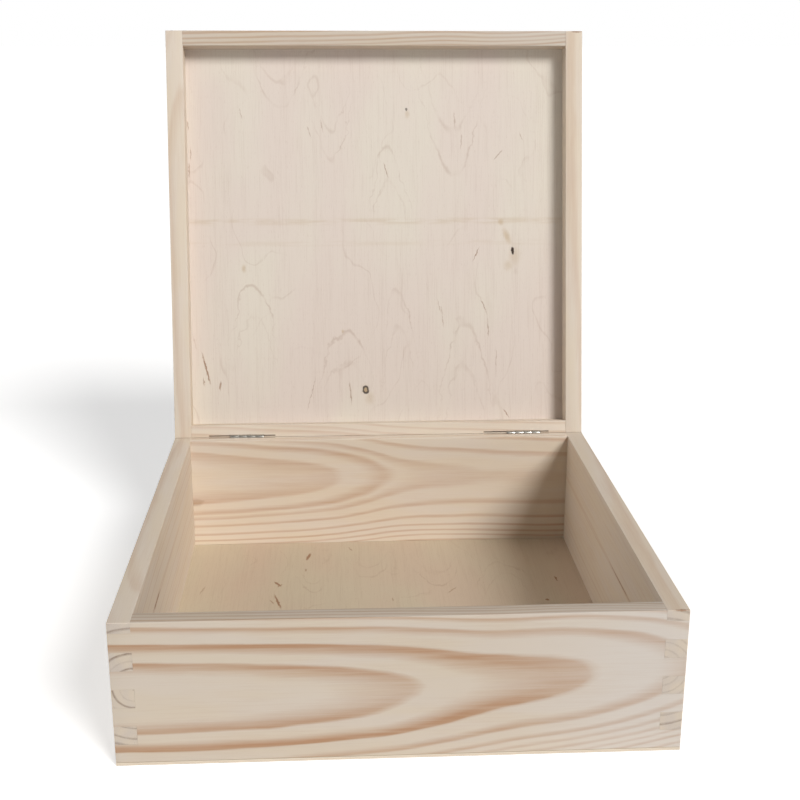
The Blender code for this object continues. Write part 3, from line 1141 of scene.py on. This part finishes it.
def add_panel():
    """The lid's sheet, with the panel that shows in the open lid as its lower face."""
    outside = veneer("birch_lid_outside", VENEER_COLORS, seed=47.0, marks={})
    inside = veneer("birch_lid_inside", VENEER_COLORS, seed=11.0, marks=PANEL_MARKS)
    edge = ply_edge("birch_lid_edge", PLY_THICKNESS_MM)
    add_sheet("lid_plywood_panel", PANEL_LOW, PANEL_HIGH, "lid", [outside, inside, edge])


# --- Hinges -------------------------------------------------------------------------------------


def turned(profile, steps):
    """A bmesh turned on the X axis from a profile of (x, radius) that starts and ends on the axis."""
    bm = bmesh.new()
    rings = []
    for x, radius in profile[1:-1]:
        rings.append([bm.verts.new((x, y, z)) for y, z in circle((0.0, 0.0), radius, steps)])
    for ring, following in zip(rings, rings[1:]):
        for i in range(steps):
            j = (i + 1) % steps
            bm.faces.new((ring[i], ring[j], following[j], following[i]))
    first = bm.verts.new((profile[0][0], 0.0, 0.0))
    last = bm.verts.new((profile[-1][0], 0.0, 0.0))
    for i in range(steps):
        j = (i + 1) % steps
        bm.faces.new((first, rings[0][j], rings[0][i]))
        bm.faces.new((last, rings[-1][i], rings[-1][j]))
    bmesh.ops.recalc_face_normals(bm, faces=bm.faces)
    return bm


def rounded_bar(low, high, radius, rounding):
    """The profile of a bar along X with rounded ends."""
    left = []
    for i in range(ROUNDING_STEPS + 1):
        angle = math.pi / 2 * i / ROUNDING_STEPS
        x = low + rounding * (1 - math.cos(angle))
        left.append((x, radius - rounding * (1 - math.sin(angle))))
    right = [(low + high - x, r) for x, r in reversed(left)]
    return [(low, 0.0)] + left + right + [(high, 0.0)]


def add_knuckles(label, metal):
    """A rounded bar over each rolled knuckle of a hinge."""
    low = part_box(f"{label}_hinge_base_leaf")[0].x
    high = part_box(f"{label}_hinge_lid_leaf")[1].x
    pitch = (high - low + LEAF_KNUCKLE_GAP) / KNUCKLES
    for i in range(KNUCKLES):
        start = low + pitch * i - KNUCKLE_LONGER
        end = low + pitch * (i + 1) - LEAF_KNUCKLE_GAP + KNUCKLE_LONGER
        profile = rounded_bar(start, end, KNUCKLE_RADIUS, KNUCKLE_ROUNDING)
        knuckle = object_from(f"{label}_knuckle_{i + 1}", turned(profile, BARREL_STEPS), [metal])
        knuckle.location = (0.0, AXIS.y, AXIS.z)
        knuckle.data.shade_smooth()
        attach(knuckle, "base" if i % 2 == 0 else "lid")


def add_hinges():
    """Plates the CAD leaves and pins with nickel, and adds the knuckles."""
    metal = nickel()
    for label in HINGES:
        for piece in ("base_leaf", "lid_leaf", "pin"):
            node = frame["nodes"][f"{label}_hinge_{piece}"]
            node.data.materials.clear()
            node.data.materials.append(metal)
        add_knuckles(label, metal)


# --- Camera, light and floor --------------------------------------------------------------------


def add_camera():
    """The camera, where the photographer stood."""
    camera = bpy.data.objects.new("camera", bpy.data.cameras.new("camera"))
    bpy.context.scene.collection.objects.link(camera)
    turn = Matrix.Rotation(math.radians(CAMERA_YAW), 4, "Z")
    tilt = Matrix.Rotation(math.radians(90 + CAMERA_PITCH), 4, "X")
    roll = Matrix.Rotation(math.radians(CAMERA_ROLL), 4, "Z")
    camera.matrix_world = Matrix.Translation(CAMERA_PLACE) @ turn @ tilt @ roll
    camera.data.lens = CAMERA_LENS
    camera.data.sensor_width = CAMERA_SENSOR
    camera.data.clip_start = CAMERA_NEAREST
    bpy.context.scene.camera = camera


def add_lamp(name, toward, spread, strength):
    """A far, soft lamp. toward points from the box to the lamp; spread is its width in degrees."""
    data = bpy.data.lights.new(name, "SUN")
    data.angle = math.radians(spread)
    data.energy = strength
    data.color = LAMP_COLOR
    lamp = bpy.data.objects.new(name, data)
    bpy.context.scene.collection.objects.link(lamp)
    lamp.rotation_euler = Vector(toward).to_track_quat("Z", "Y").to_euler()


def add_studio():
    """Two soft lamps, and a world that looks white but lights the box only a little."""
    add_lamp("key", KEY_TOWARD, KEY_SPREAD, KEY_STRENGTH)
    add_lamp("fill", FILL_TOWARD, FILL_SPREAD, FILL_STRENGTH)
    world = bpy.data.worlds.new("studio")
    world.use_nodes = True
    nodes = world.node_tree.nodes
    links = world.node_tree.links
    background = nodes["Background"]
    background.inputs["Color"].default_value = WHITE
    path = nodes.new("ShaderNodeLightPath")
    strength = nodes.new("ShaderNodeMapRange")
    strength.inputs["To Min"].default_value = WORLD_STRENGTH
    strength.inputs["To Max"].default_value = BACKDROP_STRENGTH
    links.new(path.outputs["Is Camera Ray"], strength.inputs["Value"])
    links.new(strength.outputs["Result"], background.inputs["Strength"])
    bpy.context.scene.world = world
    bpy.context.scene.view_settings.view_transform = "Standard"


def add_floor():
    """A wide pale floor under the box. Its glow is for the camera, to blend it into the backdrop."""
    bm = bmesh.new()
    bmesh.ops.create_grid(bm, x_segments=1, y_segments=1, size=FLOOR_REACH)
    shader = Shader("floor")
    shader.set("Base Color", FLOOR_GREY)
    shader.set("Roughness", FLOOR_ROUGHNESS)
    shader.set("Emission Color", WHITE)
    seen = shader.node("LightPath", {}).outputs["Is Camera Ray"]
    glow = shader.between(seen, 0.0, 1.0, FLOOR_BOUNCE_GLOW, FLOOR_GLOW, "LINEAR")
    shader.set("Emission Strength", glow)
    floor = object_from("floor", bm, [shader.material])
    floor.location.z = FLOOR_LOW.z


add_camera()
add_studio()
add_floor()
add_boards()
add_bottom()
add_panel()
add_hinges()
